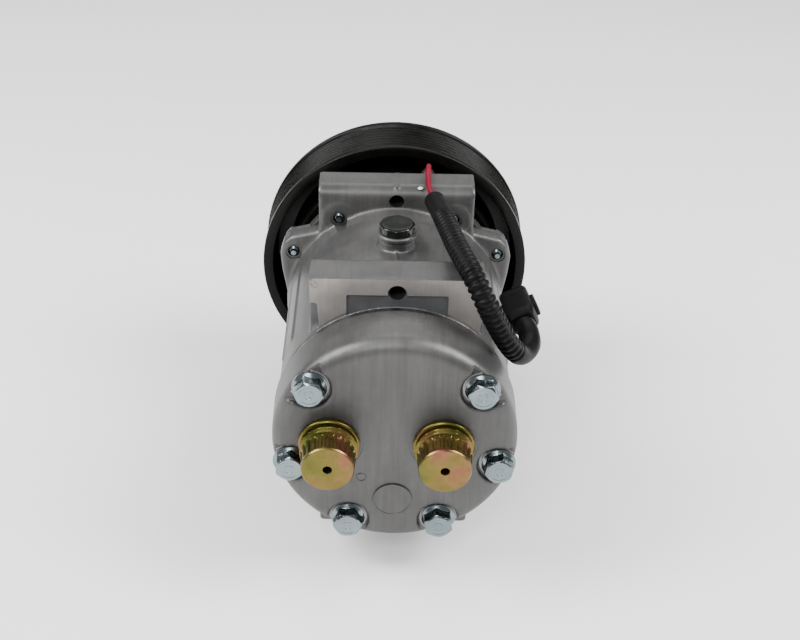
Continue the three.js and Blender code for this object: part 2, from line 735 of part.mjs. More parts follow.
add('drive_shaft', driveShaft(), 'steel');
add('cam_rotor', camRotor(), 'steel');
add('front_bearing', ring(9.4, 13, 152, 170), 'steel');
add('rotor_thrust_bearing', ring(24, 44, ROTOR_FRONT + GAP, BLOCK_FRONT), 'steel');
add('shaft_seal', ring(9.4, 15, 175, 184), 'blackPlastic');
add('plate_thrust_bearing', tilted(ring(24, 42, PLATE_BACK + GAP, ROTOR_FACE - GAP)), 'steel');
add('wobble_plate', wobblePlate(), 'steel');
add('fixed_gear', fixedGear(), 'steel');
add('pivot_ball', ball(PIVOT_RADIUS, 0, NUTATION_Y, 0), 'steel');
for (let i = 0; i < CYLINDERS; i += 1) {
  const angle = boreAngle(i);
  const { socket } = rodEnds(angle);
  add(`rod_ball_${i + 1}`, ball(BALL_RADIUS, socket.x, socket.y, socket.z), 'steel');
  add(`connecting_rod_${i + 1}`, rod(angle), 'steel');
  add(`piston_${i + 1}`, piston(angle), 'machinedAluminium');
}

add('field_coil', fieldCoil(), 'coilResin');
add('pulley', pulley(), 'blackSteel');
add('pulley_bearing', ring(NOSE_RADIUS + 0.4, 27.4, 176.2, 196.2), 'steel');
add('clutch_hub', clutchHub(), 'blackSteel');
add('armature_plate', ring(31, 60.5, 204.1, 208.6, BIG), 'steel');
add('hub_nut', hubNut(), 'zincSteel');
add('coil_lead', tube(outline(LEAD_RADIUS, 8), LEAD_ROUTE, 30), 'redWire');
add('lead_loom', leadLoom(), 'blackPlastic');
add('lead_connector', leadConnector(), 'blackPlastic');

export default compressor;
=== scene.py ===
import math

import bmesh
import bpy
from mathutils import Matrix, Vector


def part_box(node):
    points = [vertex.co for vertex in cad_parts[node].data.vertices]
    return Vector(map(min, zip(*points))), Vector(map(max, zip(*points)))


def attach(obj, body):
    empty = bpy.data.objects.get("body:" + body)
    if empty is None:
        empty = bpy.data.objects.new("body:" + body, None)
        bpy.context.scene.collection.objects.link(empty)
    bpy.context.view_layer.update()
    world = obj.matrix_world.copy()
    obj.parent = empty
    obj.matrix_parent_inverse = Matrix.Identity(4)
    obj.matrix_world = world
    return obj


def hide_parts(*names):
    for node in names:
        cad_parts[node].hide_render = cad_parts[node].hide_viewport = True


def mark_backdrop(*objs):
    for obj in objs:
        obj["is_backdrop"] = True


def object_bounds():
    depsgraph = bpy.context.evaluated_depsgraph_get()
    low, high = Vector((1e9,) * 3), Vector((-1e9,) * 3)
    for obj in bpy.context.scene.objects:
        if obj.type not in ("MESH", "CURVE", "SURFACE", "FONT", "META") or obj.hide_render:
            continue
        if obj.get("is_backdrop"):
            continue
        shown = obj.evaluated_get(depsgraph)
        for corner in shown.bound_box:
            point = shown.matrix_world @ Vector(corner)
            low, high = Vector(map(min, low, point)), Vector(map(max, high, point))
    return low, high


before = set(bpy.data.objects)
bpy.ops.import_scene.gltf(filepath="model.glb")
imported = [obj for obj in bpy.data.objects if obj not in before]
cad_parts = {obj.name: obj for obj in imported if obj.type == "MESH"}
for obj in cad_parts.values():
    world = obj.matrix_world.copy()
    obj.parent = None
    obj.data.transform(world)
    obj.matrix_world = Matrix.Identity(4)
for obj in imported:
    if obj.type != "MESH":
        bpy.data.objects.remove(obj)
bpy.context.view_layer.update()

# Shapes are drawn in millimetres, with y as a station along the shaft measured from the plane
# under the head bolts' flanges, and go to the frame's metres last.
MM = 0.001
CAP_END = -22
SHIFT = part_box("suction_cap")[0].y / MM - CAP_END
TO_FRAME = Matrix.Scale(MM, 4) @ Matrix.Translation((0, SHIFT, 0))


def span(node):
    """The corners of a CAD node's box in millimetres and stations."""
    back = TO_FRAME.inverted()
    low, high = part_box(node)
    return back @ low, back @ high


def axis(node):
    """Where a node that turns about an axis along Y has that axis, as (x, z)."""
    low, high = span(node)
    return (low.x + high.x) / 2, (low.z + high.z) / 2


# ---------- camera ----------
ROLL = math.radians(1.25)  # the object leans by this much in the picture
PITCH = math.radians(57.394)
YAW = -0.005
lean = Matrix.Rotation(-ROLL, 3, "Y")
camera = bpy.data.objects.new("camera", bpy.data.cameras.new("camera"))
camera.data.sensor_width = 36
camera.data.lens = 58.68
camera.location = lean @ Vector((0, -0.592, 0.3888))
turn = lean @ Matrix.Rotation(YAW, 3, "Z") @ Matrix.Rotation(PITCH, 3, "X")
camera.rotation_euler = turn.to_euler()
bpy.context.scene.collection.objects.link(camera)
bpy.context.scene.camera = camera


# ---------- outlines ----------
def arc(centre, radius, start, end, steps):
    """Points round a centre from one angle to another, in degrees from the first axis to the second."""
    angles = [math.radians(start + (end - start) * k / steps) for k in range(steps + 1)]
    return [(centre[0] + radius * math.cos(a), centre[1] + radius * math.sin(a)) for a in angles]


def rounded(corners, closed=False, steps=4):
    """A line through corners (a, b) or (a, b, radius), with an arc at each corner that has a radius."""
    points = []
    count = len(corners)
    for k, corner in enumerate(corners):
        here = Vector(corner[:2])
        radius = corner[2] if len(corner) > 2 else 0
        if radius == 0 or (not closed and k in (0, count - 1)):
            points.append(tuple(here))
            continue
        before = Vector(corners[k - 1][:2]) - here
        after = Vector(corners[(k + 1) % count][:2]) - here
        half = before.angle(after) / 2
        reach = min(radius / math.tan(half), 0.49 * before.length, 0.49 * after.length)
        radius = reach * math.tan(half)
        before.normalize()
        after.normalize()
        centre = here + (before + after).normalized() * (radius / math.sin(half))
        first = (here + before * reach - centre).normalized()
        last = (here + after * reach - centre).normalized()
        for step in range(steps + 1):
            points.append(tuple(centre + radius * first.slerp(last, step / steps)))
    return points


# ---------- meshes ----------
def new_mesh(name, points, faces):
    mesh = bpy.data.meshes.new(name)
    mesh.from_pydata([tuple(p) for p in points], [], faces)
    obj = bpy.data.objects.new(name, mesh)
    bpy.context.scene.collection.objects.link(obj)
    return obj


def outward(obj):
    """Turns every face to point out."""
    bm = bmesh.new()
    bm.from_mesh(obj.data)
    bmesh.ops.recalc_face_normals(bm, faces=bm.faces)
    bm.to_mesh(obj.data)
    bm.free()
    return obj


def skin(name, rings, closed=False):
    """A closed surface through rings of points. A ring of one point is a pole;
    closed joins the last ring to the first."""
    points, starts, faces = [], [], []
    for ring in rings:
        starts.append(len(points))
        points.extend(ring)
    sides = max(len(ring) for ring in rings)
    pairs = list(zip(range(len(rings) - 1), range(1, len(rings))))
    if closed:
        pairs.append((len(rings) - 1, 0))
    for a, b in pairs:
        for k in range(sides):
            n = (k + 1) % sides
            first = [starts[a]] if len(rings[a]) == 1 else [starts[a] + k, starts[a] + n]
            second = [starts[b]] if len(rings[b]) == 1 else [starts[b] + n, starts[b] + k]
            if len(first) + len(second) > 2:
                faces.append(first + second)
    if not closed:
        if len(rings[0]) > 1:
            faces.append(list(range(starts[0], starts[0] + sides)))
        if len(rings[-1]) > 1:
            faces.append(list(range(starts[-1], starts[-1] + sides)))
    return outward(new_mesh(name, points, faces))


def turned(name, section, at=(0, 0), sides=96, closed=False, radius=None):
    """A body of revolution about an axis along Y through at. section holds (radius, station);
    radius(angle, r, y), where given, says how far out the surface is there."""
    rings = []
    for r, y in section:
        if r < 1e-6:
            rings.append([(at[0], y, at[1])])
            continue
        ring = []
        for k in range(sides):
            angle = 2 * math.pi * k / sides
            out = radius(angle, r, y) if radius else r
            ring.append((at[0] + out * math.cos(angle), y, at[1] + out * math.sin(angle)))
        rings.append(ring)
    return skin(name, rings, closed)


def slab(name, outline, start, end):
    """An outline in the XZ plane, filled from one station to another."""
    return skin(name, [[(x, y, z) for x, z in outline] for y in (start, end)])


def box(name, low, high):
    outline = [(low[0], low[2]), (high[0], low[2]), (high[0], high[2]), (low[0], high[2])]
    return slab(name, outline, low[1], high[1])


def rod(name, x, z, radius, start, end, sides=48):
    return turned(name, [(0, start), (radius, start), (radius, end), (0, end)], (x, z), sides)


def across(name, y, z, radius, half, sides=48):
    """A cylinder along X."""
    obj = rod(name, 0, 0, radius, -half, half, sides)
    obj.data.transform(Matrix.Translation((0, y, z)) @ Matrix.Rotation(math.pi / 2, 4, "Z"))
    return obj


def upright(name, section, x, y, sides=64, radius=None):
    """A body of revolution about a vertical axis; section holds (radius, z)."""
    obj = turned(name, section, (0, 0), sides, radius=radius)
    obj.data.transform(Matrix.Translation((x, y, 0)) @ Matrix.Rotation(math.pi / 2, 4, "X"))
    return obj


def apply_all(obj):
    """Applies every modifier."""
    result = bpy.data.meshes.new_from_object(obj.evaluated_get(bpy.context.evaluated_depsgraph_get()))
    obj.modifiers.clear()
    old = obj.data
    obj.data = result
    bpy.data.meshes.remove(old)
    return obj


def merged(name, parts):
    """Several objects as one mesh."""
    bm = bmesh.new()
    for part in parts:
        bm.from_mesh(part.data)
        bpy.data.objects.remove(part)
    mesh = bpy.data.meshes.new(name)
    bm.to_mesh(mesh)
    bm.free()
    obj = bpy.data.objects.new(name, mesh)
    bpy.context.scene.collection.objects.link(obj)
    return obj


def combined(obj, operation, others):
    """One boolean after another on a mesh."""
    for other in others:
        modifier = obj.modifiers.new(operation, "BOOLEAN")
        modifier.operation = operation
        modifier.solver = "MANIFOLD"
        modifier.object = other
    bpy.context.view_layer.update()
    apply_all(obj)
    for other in others:
        bpy.data.objects.remove(other)
    return obj


def cut(obj, *cutters):
    """Cuts one tool, made of all the cutters, out of a mesh."""
    tool = combined(cutters[0], "UNION", cutters[1:]) if len(cutters) > 1 else cutters[0]
    return combined(obj, "DIFFERENCE", [tool])


def joined(obj, *others):
    return combined(obj, "UNION", others)


def cast(obj, grain, passes):
    """Melts an object's edges and inner corners as a casting's are: remeshed, then relaxed."""
    remesh = obj.modifiers.new("remesh", "REMESH")
    remesh.mode = "VOXEL"
    remesh.voxel_size = grain
    relax = obj.modifiers.new("relax", "SMOOTH")
    relax.factor = 0.5
    relax.iterations = passes
    bpy.context.view_layer.update()
    return apply_all(obj)


def softened(obj, width, segments=2):
    """Narrow rounds along a clean mesh's edges."""
    modifier = obj.modifiers.new("bevel", "BEVEL")
    modifier.width = width
    modifier.segments = segments
    modifier.limit_method = "ANGLE"
    modifier.angle_limit = math.radians(40)
    bpy.context.view_layer.update()
    return apply_all(obj)


def place(obj, body, materials, nodes=(), sharp=38):
    """Puts a finished piece in the frame, on its body, with its material."""
    obj.data.transform(TO_FRAME)
    painted_faces = [face.material_index for face in obj.data.polygons]
    obj.data.materials.clear()
    for material in materials:
        obj.data.materials.append(material)
    obj.data.polygons.foreach_set("material_index", painted_faces)
    obj.data.shade_smooth()
    obj.data.set_sharp_from_angle(angle=math.radians(sharp))
    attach(obj, body)
    if nodes:
        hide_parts(*nodes)
    return obj


def paint(obj, index, test):
    """Gives the second, third... material to the faces whose centre and normal pass a test."""
    for face in obj.data.polygons:
        if test(face.center, face.normal):
            face.material_index = index


# ---------- materials ----------
class Net:
    """A Principled material and the nodes that feed it; positions are in the object's own metres."""

    def __init__(self, name, roughness, metallic):
        self.material = bpy.data.materials.new(name)
        self.material.use_nodes = True
        self.tree = self.material.node_tree
        self.shader = self.tree.nodes["Principled BSDF"]
        self.shader.inputs["Metallic"].default_value = metallic
        self.shader.inputs["Roughness"].default_value = roughness
        self.place = self.node("ShaderNodeTexCoord").outputs["Object"]

    def node(self, kind, **values):
        node = self.tree.nodes.new(kind)
        for key, value in values.items():
            setattr(node, key, value)
        return node

    def link(self, source, target):
        self.tree.links.new(source, target)

    def stretched(self, scale, turn=(0, 0, 0)):
        node = self.node("ShaderNodeMapping")
        node.inputs["Scale"].default_value = scale
        node.inputs["Rotation"].default_value = turn
        self.link(self.place, node.inputs["Vector"])
        return node.outputs["Vector"]

    def noise(self, scale, detail=3, roughness=0.5, where=None, distortion=0):
        node = self.node("ShaderNodeTexNoise")
        node.inputs["Scale"].default_value = scale
        node.inputs["Detail"].default_value = detail
        node.inputs["Roughness"].default_value = roughness
        node.inputs["Distortion"].default_value = distortion
        self.link(where or self.place, node.inputs["Vector"])
        return node.outputs["Fac"]

    def ramp(self, source, stops):
        """stops are (position, colour or grey)."""
        node = self.node("ShaderNodeValToRGB")
        elements = node.color_ramp.elements
        while len(elements) < len(stops):
            elements.new(0.5)
        for element, (position, colour) in zip(elements, stops):
            element.position = position
            element.color = (*colour, 1) if hasattr(colour, "__len__") else (colour, colour, colour, 1)
        self.link(source, node.inputs["Fac"])
        return node.outputs["Color"]

    def mix(self, amount, a, b):
        """Mixes two colours, each a socket or three numbers, by a socket or a number."""
        node = self.node("ShaderNodeMix", data_type="RGBA")
        for socket, value in ((node.inputs["Factor"], amount), (node.inputs[6], a), (node.inputs[7], b)):
            if isinstance(value, bpy.types.NodeSocket):
                self.link(value, socket)
            elif hasattr(value, "__len__"):
                socket.default_value = (*value, 1)
            else:
                socket.default_value = value
        return node.outputs[2]

    def product(self, a, b):
        node = self.node("ShaderNodeMath", operation="MULTIPLY")
        for socket, value in zip(node.inputs, (a, b)):
            if isinstance(value, bpy.types.NodeSocket):
                self.link(value, socket)
            else:
                socket.default_value = value
        return node.outputs[0]

    def within(self, source, low, high, to_low, to_high):
        node = self.node("ShaderNodeMapRange")
        for key, value in (("From Min", low), ("From Max", high), ("To Min", to_low), ("To Max", to_high)):
            node.inputs[key].default_value = value
        self.link(source, node.inputs["Value"])
        return node.outputs["Result"]

    def colour(self, source):
        self.link(source, self.shader.inputs["Base Color"])

    def roughness(self, source):
        self.link(source, self.shader.inputs["Roughness"])

    def bump(self, heights, depth=0.0002):
        """heights are (socket, strength) pairs, each adding its own bump."""
        normal = None
        for height, strength in heights:
            node = self.node("ShaderNodeBump")
            node.inputs["Distance"].default_value = depth
            node.inputs["Strength"].default_value = strength
            self.link(height, node.inputs["Height"])
            if normal:
                self.link(normal, node.inputs["Normal"])
            normal = node.outputs["Normal"]
        self.link(normal, self.shader.inputs["Normal"])


def cast_metal():
    """Die-cast aluminium: dull grey with fine draw streaks, a sandy grain and a few brown bruises."""
    net = Net("cast_aluminium", 0.42, 0.6)
    clouds = net.noise(34, 4, 0.6)
    streaks = net.noise(1, 3, 0.6, net.stretched((420, 60, 26)))
    grain = net.noise(1500, 2, 0.6)
    grey = net.ramp(clouds, [(0.3, (0.068, 0.067, 0.066)), (0.7, (0.108, 0.106, 0.104))])
    streaky = net.mix(net.within(streaks, 0.35, 0.7, 0.0, 0.35), grey, (0.045, 0.0445, 0.044))
    bruise = net.ramp(net.noise(55, 5, 0.65, distortion=0.6), [(0.62, 0), (0.78, 1)])
    net.colour(net.mix(net.product(bruise, 0.3), streaky, (0.055, 0.042, 0.031)))
    net.roughness(net.within(clouds, 0.3, 0.7, 0.36, 0.5))
    net.bump([(grain, 0.25), (streaks, 0.22), (clouds, 0.5)], 0.0003)
    return net.material


def machined_metal():
    """Milled aluminium: brighter and slightly warm, with tool lines, and with brown speckles
    in the upper left corner of the ears' faces."""
    net = Net("machined_aluminium", 0.38, 0.45)
    lines = net.noise(1, 2, 0.5, net.stretched((900, 60, 60), (0, 0.5, 0)))
    clouds = net.noise(60, 3)
    grey = net.ramp(clouds, [(0.3, (0.26, 0.238, 0.224)), (0.7, (0.36, 0.335, 0.318))])
    lined = net.mix(net.within(lines, 0.3, 0.7, 0.0, 0.25), grey, (0.17, 0.162, 0.154))
    spots = net.ramp(net.noise(620, 4, 0.7), [(0.5, 0), (0.58, 1)])
    where = net.node("ShaderNodeSeparateXYZ")
    net.link(net.place, where.inputs[0])
    left = net.within(where.outputs["X"], -0.0375, -0.0395, 0.0, 1.0)
    high = net.within(where.outputs["Z"], 0.0655, 0.0675, 0.0, 1.0)
    stain = net.product(net.product(left, high), spots)
    net.colour(net.mix(net.product(stain, 0.8), lined, (0.09, 0.055, 0.028)))
    net.roughness(net.within(lines, 0.3, 0.7, 0.28, 0.42))
    net.bump([(lines, 0.2)], 0.0001)
    return net.material


def plated_metal(name, light, dark, roughness):
    """Plated or bare steel with faint handling marks."""
    net = Net(name, roughness, 1.0)
    clouds = net.noise(45, 4, 0.55)
    net.colour(net.ramp(clouds, [(0.3, dark), (0.65, light)]))
    net.roughness(net.within(net.noise(210, 3), 0.3, 0.7, roughness - 0.05, roughness + 0.1))
    net.bump([(net.noise(700, 2), 0.12)], 0.0001)
    return net.material


def yellow_zinc():
    """Yellow chromate over zinc: gold, turning pink, orange and green in patches."""
    net = Net("yellow_zinc", 0.28, 0.95)
    hue = net.noise(46, 2, 0.5, distortion=0.4)
    gold = net.ramp(hue, [
        (0.34, (0.10, 0.105, 0.022)),
        (0.45, (0.155, 0.12, 0.032)),
        (0.56, (0.20, 0.12, 0.045)),
        (0.66, (0.22, 0.088, 0.052)),
    ])
    dull = net.noise(260, 3, 0.6)
    net.colour(net.mix(net.within(dull, 0.45, 0.75, 0.0, 0.35), gold, (0.08, 0.062, 0.022)))
    net.roughness(net.within(dull, 0.3, 0.7, 0.24, 0.4))
    net.bump([(net.noise(900, 2), 0.15)], 0.0001)
    return net.material


def painted(name, colour, second, roughness, grain=900, strength=0.15, gloss=0.14):
    """Plastic, rubber, enamel or paint."""
    net = Net(name, roughness, 0.0)
    net.shader.inputs["Specular IOR Level"].default_value = gloss
    net.colour(net.ramp(net.noise(70, 4, 0.6), [(0.35, colour), (0.7, second)]))
    net.roughness(net.within(net.noise(120, 3), 0.3, 0.7, roughness - 0.06, roughness + 0.08))
    net.bump([(net.noise(grain, 3), strength)], 0.0002)
    return net.material


CAST = cast_metal()
MILLED = machined_metal()
ZINC = plated_metal("zinc_steel", (0.22, 0.26, 0.275), (0.15, 0.185, 0.20), 0.2)
STEEL = plated_metal("bearing_steel", (0.20, 0.20, 0.20), (0.13, 0.13, 0.13), 0.34)
GOLD = yellow_zinc()
BLACK_STEEL = painted("black_steel", (0.002, 0.002, 0.0016), (0.0035, 0.0035, 0.0028), 0.3, 900, 0.04)
BLACK_PLASTIC = painted("black_plastic", (0.002, 0.002, 0.002), (0.0035, 0.0035, 0.0035), 0.42, gloss=0.1)
GLOSS_BLACK = painted("gloss_black", (0.005, 0.006, 0.005), (0.008, 0.009, 0.008), 0.14, 400, 0.05, 0.35)
RUBBER = painted("seal_rubber", (0.006, 0.006, 0.007), (0.011, 0.011, 0.011), 0.55)
CRIMSON = painted("wire_insulation", (0.13, 0.003, 0.013), (0.17, 0.006, 0.02), 0.4, 1500, 0.1)
RESIN = painted("coil_resin", (0.030, 0.012, 0.010), (0.05, 0.02, 0.016), 0.4)
CAST_SKIN = painted("cast_skin", (0.085, 0.088, 0.092), (0.125, 0.128, 0.132), 0.5, 1200, 0.2, 0.5)
WHITE_PAINT = painted("white_paint", (0.70, 0.71, 0.70), (0.80, 0.80, 0.79), 0.5)


# ---------- the coil's lead ----------
LEAD_ROUTE = [
    (0.0175, 0.0661, 0.0594),
    (0.0176, 0.0635, 0.0700),
    (0.0173, 0.0545, 0.0750),
    (0.0168, 0.0425, 0.0750),
    (0.0172, 0.0295, 0.0744),
    (0.0195, 0.0175, 0.0738),
    (0.0240, -0.0085, 0.0760),
    (0.0280, -0.0355, 0.0784),
    (0.0310, -0.0515, 0.0794),
    (0.0355, -0.0675, 0.0780),
    (0.0413, -0.0750, 0.0685),
    (0.0482, -0.0725, 0.0535),
    (0.0558, -0.0675, 0.0385),
    (0.0618, -0.0605, 0.0300),
    (0.0668, -0.0510, 0.0290),
    (0.0669, -0.0415, 0.0304),
    (0.0656, -0.0345, 0.0303),
]
ROUTE_STEPS = 8  # pieces of curve between each two route points
WIRE_DIAMETER = 0.003
LOOM_START = 5  # the route point where the loom begins


def smooth_route(points, steps):
    """A centripetal Catmull-Rom curve through points, with steps pieces between each two."""
    points = [Vector(p) for p in points]
    padded = [2 * points[0] - points[1], *points, 2 * points[-1] - points[-2]]
    line = []
    for a, b, c, d in zip(padded, padded[1:], padded[2:], padded[3:]):
        t1 = (b - a).length ** 0.5
        t2 = t1 + (c - b).length ** 0.5
        t3 = t2 + (d - c).length ** 0.5
        for k in range(steps):
            t = t1 + (t2 - t1) * k / steps
            ab = a.lerp(b, t / t1)
            bc = b.lerp(c, (t - t1) / (t2 - t1))
            cd = c.lerp(d, (t - t2) / (t3 - t2))
            abc = ab.lerp(bc, t / t2)
            bcd = bc.lerp(cd, (t - t1) / (t3 - t1))
            line.append(abc.lerp(bcd, (t - t1) / (t2 - t1)))
    line.append(points[-1])
    return line


def route_length(line):
    return sum((b - a).length for a, b in zip(line, line[1:]))


def coil_wire(line):
    curve = bpy.data.curves.new("coil_wire", "CURVE")
    curve.dimensions = "3D"
    curve.bevel_depth = WIRE_DIAMETER / 2
    curve.bevel_resolution = 4
    curve.use_fill_caps = True
    spline = curve.splines.new("POLY")
    spline.points.add(len(line) - 1)
    for point, place_at in zip(spline.points, line):
        point.co = (*place_at, 1)
    spline.use_smooth = True
    wire = bpy.data.objects.new("coil_wire", curve)
    bpy.context.scene.collection.objects.link(wire)
    curve.materials.append(CRIMSON)
    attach(wire, "root")
    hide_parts("coil_lead")
    return wire


SLEEVE = 24.0  # length of the plain sleeve at the loom's start
BOOT = 36.0  # length of the plain boot at its end
RING_PITCH = 3.7


def loom_radius(s, total):
    """The loom's radius at a distance along it: a plain sleeve, a corrugated hose, a plain boot."""
    if s < SLEEVE:
        return 5.35
    if s > total - BOOT:
        return 5.45
    phase = (s - SLEEVE) / RING_PITCH % 1
    crest = 0.5 - 0.5 * math.cos(2 * math.pi * phase)
    return 4.5 + 1.0 * min(1, crest * 1.5)


def along(line, step):
    """Points every step along a line, each with its direction and distance."""
    total = route_length(line)
    count = round(total / step)
    found, walked, k = [], 0.0, 0
    for n in range(count + 1):
        s = total * n / count
        while k < len(line) - 2 and walked + (line[k + 1] - line[k]).length < s:
            walked += (line[k + 1] - line[k]).length
            k += 1
        piece = line[k + 1] - line[k]
        found.append((line[k] + piece * ((s - walked) / piece.length), piece.normalized(), s))
    return found


def hose(name, line, radius_at, step, inner, sides=40):
    """A tube round a line with its own radius at each place and a bore of radius inner."""
    stations = along(line, step)
    total = stations[-1][2]
    side = Vector((1, 0, 0))
    frames = []
    for place_at, direction, s in stations:
        side = (side - direction * side.dot(direction)).normalized()
        frames.append((place_at, side.copy(), direction.cross(side), s))

    def ring(entry, radius):
        place_at, u, v, _ = entry
        angles = [2 * math.pi * k / sides for k in range(sides)]
        return [place_at + (u * math.cos(a) + v * math.sin(a)) * radius for a in angles]

    first, last = frames[0], frames[-1]
    rings = [ring(entry, radius_at(entry[3], total)) for entry in frames]
    lip = 0.5
    rings[0] = ring(first, radius_at(0, total) - lip)
    rings[-1] = ring(last, radius_at(total, total) - lip)
    rings += [ring(last, inner)] + [ring(entry, inner) for entry in frames[::-6]] + [ring(first, inner)]
    return skin(name, rings, closed=True)


def lead_connector():
    """A moulded plug housing: a rounded body with a groove round it, a latch on its side
    and a socket at its end."""
    width, height, length = 15.4, 13.4, 31.4
    corners = [(x * width / 2, z * height / 2, 3.2) for x, z in ((-1, -1), (1, -1), (1, 1), (-1, 1))]
    outline = rounded(corners, closed=True, steps=6)

    def scaled(factor, y):
        return [(x * factor, y, z * factor) for x, z in outline]

    sections = [(0.66, 0.2), (0.76, 0.5), (0.84, 1.6), (0.9, 3.4), (0.97, 5), (1, 7), (1, 25), (1, 26)]
    sections += [(0.93, 26.4), (0.93, 27.2), (1, 27.6), (1, length - 0.5), (0.97, length)]
    body = skin("lead_connector_body", [scaled(f, y) for f, y in sections])
    latch_side = [(9, 0), (9.6, 2.6), (13, 3.0), (19.5, 2.2), (22, 3.0), (22, 0)]
    rings = [[(width / 2 - 0.8 + out, y, z) for y, out in latch_side] for z in (-3.6, 3.6)]
    latch = softened(skin("latch", rings), 0.5)
    body = joined(body, latch)
    mouth = rounded([(-6, -4.5, 1), (6, -4.5, 1), (6, 4.5, 1), (-6, 4.5, 1)], closed=True)
    cut(body, slab("socket", mouth, length - 17.5, length + 1))
    end = TO_FRAME.inverted() @ Vector(LEAD_ROUTE[-1])
    pose = Matrix.Translation((end.x, end.y + 1.2, end.z))
    pose = pose @ Matrix.Rotation(math.atan2(4, 31), 4, "Z")
    pose = pose @ Matrix.Rotation(math.radians(-25), 4, "Y") @ Matrix.Rotation(math.radians(-9), 4, "X")
    body.data.transform(pose)
    return place(body, "root", [BLACK_PLASTIC], ["lead_connector"])


lead_line = smooth_route(LEAD_ROUTE, ROUTE_STEPS)
wire = coil_wire(lead_line)
back = TO_FRAME.inverted()
loom_line = [back @ p for p in lead_line[LOOM_START * ROUTE_STEPS:]]
loom = hose("loom", loom_line, loom_radius, step=0.42, inner=2.6)
place(loom, "root", [BLACK_PLASTIC], ["lead_loom"], sharp=60)
connector = lead_connector()


# ---------- rear head ----------
HEAD_REAR = -1.2
HEAD_FRONT = 26.4
POCKET_FLOOR = 1.9
POCKET_RADIUS = 10.5
SEAT_RADIUS = 9.3  # the milled ring under each bolt's flange
SEAT_DEPTH = 0.02
BOLT_HOLE_RADIUS = 4.35
SPOT_FACE_RADIUS = 16.6  # the flat round each port
SPOT_FACE_DEPTH = 0.25
HEAD_RADIUS = 60
BOLTS = [f"head_bolt_{k}" for k in range(1, 7)]


def pocket_outline(angle, flare_a, flare_b):
    """A bolt's pocket, open to the rim and flared towards it on each side, about the bolt's axis."""
    reach = 14
    side_a = [(reach, POCKET_RADIUS + flare_a), (0.5, POCKET_RADIUS)]
    side_b = [(0.5, -POCKET_RADIUS), (reach, -POCKET_RADIUS - flare_b)]
    back_round = arc((0, 0), POCKET_RADIUS, 90, 270, 24)
    points = [*side_a, *back_round, *side_b]
    cosine, sine = math.cos(angle), math.sin(angle)
    return [(u * cosine - v * sine, u * sine + v * cosine) for u, v in points]


def rear_head():
    section = rounded([
        (0, HEAD_REAR), (HEAD_RADIUS - 0.6, HEAD_REAR, 7.5),
        (HEAD_RADIUS, HEAD_FRONT, 0.4), (0, HEAD_FRONT),
    ], steps=12)
    head = turned("rear_head_casting", section, sides=160)
    pockets = []
    for name in BOLTS:
        x, z = axis(name)
        angle = math.atan2(z, x)
        lower = z < -30
        left = x < 0
        if z > 10:
            flares = (8.6, 8.6)
        elif lower:
            flares = (4, -2.5) if left else (-2.5, 4)
        else:
            flares = (3, 3)
        outline = [(x + u, z + v) for u, v in pocket_outline(angle, *flares)]
        pockets.append(slab("pocket", outline, HEAD_REAR - 5, POCKET_FLOOR))
        if lower:
            sign = -1 if left else 1
            corners = [(20, -40), (36.8, -40), (36.8, -51.9, 2), (20, -51.9)]
            tab = slab("tab", rounded([(sign * c[0], *c[1:]) for c in corners], True), 4, 14)
            head = joined(head, tab)
    cut(head, *pockets)
    cast(head, 0.65, 5)
    pad = turned("pad", rounded([
        (0, -1.75), (9.0, -1.75), (9.2, -2.0, 0.2), (9.7, -2.0, 0.2), (9.9, 0), (0, 0),
    ]), (-0.6, -33))
    ring_mark = turned("ring_mark", rounded([
        (1.9, -0.8), (2.1, -1.5, 0.15), (2.5, -1.5, 0.15), (2.7, -0.8),
    ]), (-16, -19.5), 32, closed=True)
    head = joined(head, pad, ring_mark)
    annulus = [(34, 8), (45, 8), (45, HEAD_FRONT + 1), (34, HEAD_FRONT + 1)]
    cutters = [rod("bore", 0, 0, 30, 14, HEAD_FRONT + 1, 96), turned("annulus", annulus, closed=True)]
    for port, depth in (("suction_fitting", 9), ("discharge_fitting", 15)):
        x, z = axis(port)
        cutters.append(rod("port", x, z, 6, HEAD_REAR - 3, depth))
        spot_face = rod("spot_face", x, z, SPOT_FACE_RADIUS, HEAD_REAR - 3, HEAD_REAR + SPOT_FACE_DEPTH, 96)
        cutters.append(spot_face)
    for name in BOLTS:
        x, z = axis(name)
        cutters.append(rod("hole", x, z, BOLT_HOLE_RADIUS, POCKET_FLOOR - 3, HEAD_FRONT + 1, 32))
        cutters.append(rod("seat", x, z, SEAT_RADIUS, HEAD_REAR - 4, POCKET_FLOOR + SEAT_DEPTH, 64))
    cut(head, *cutters)
    seats = [axis(name) for name in BOLTS]

    def milled(centre, normal):
        near = min(math.hypot(centre.x - x, centre.z - z) for x, z in seats)
        level = abs(centre.y - POCKET_FLOOR - SEAT_DEPTH) < 0.01
        return near < SEAT_RADIUS + 0.1 and normal.y < -0.99 and level

    paint(head, 1, milled)
    return place(head, "root", [CAST, MILLED], ["rear_head"], sharp=30)


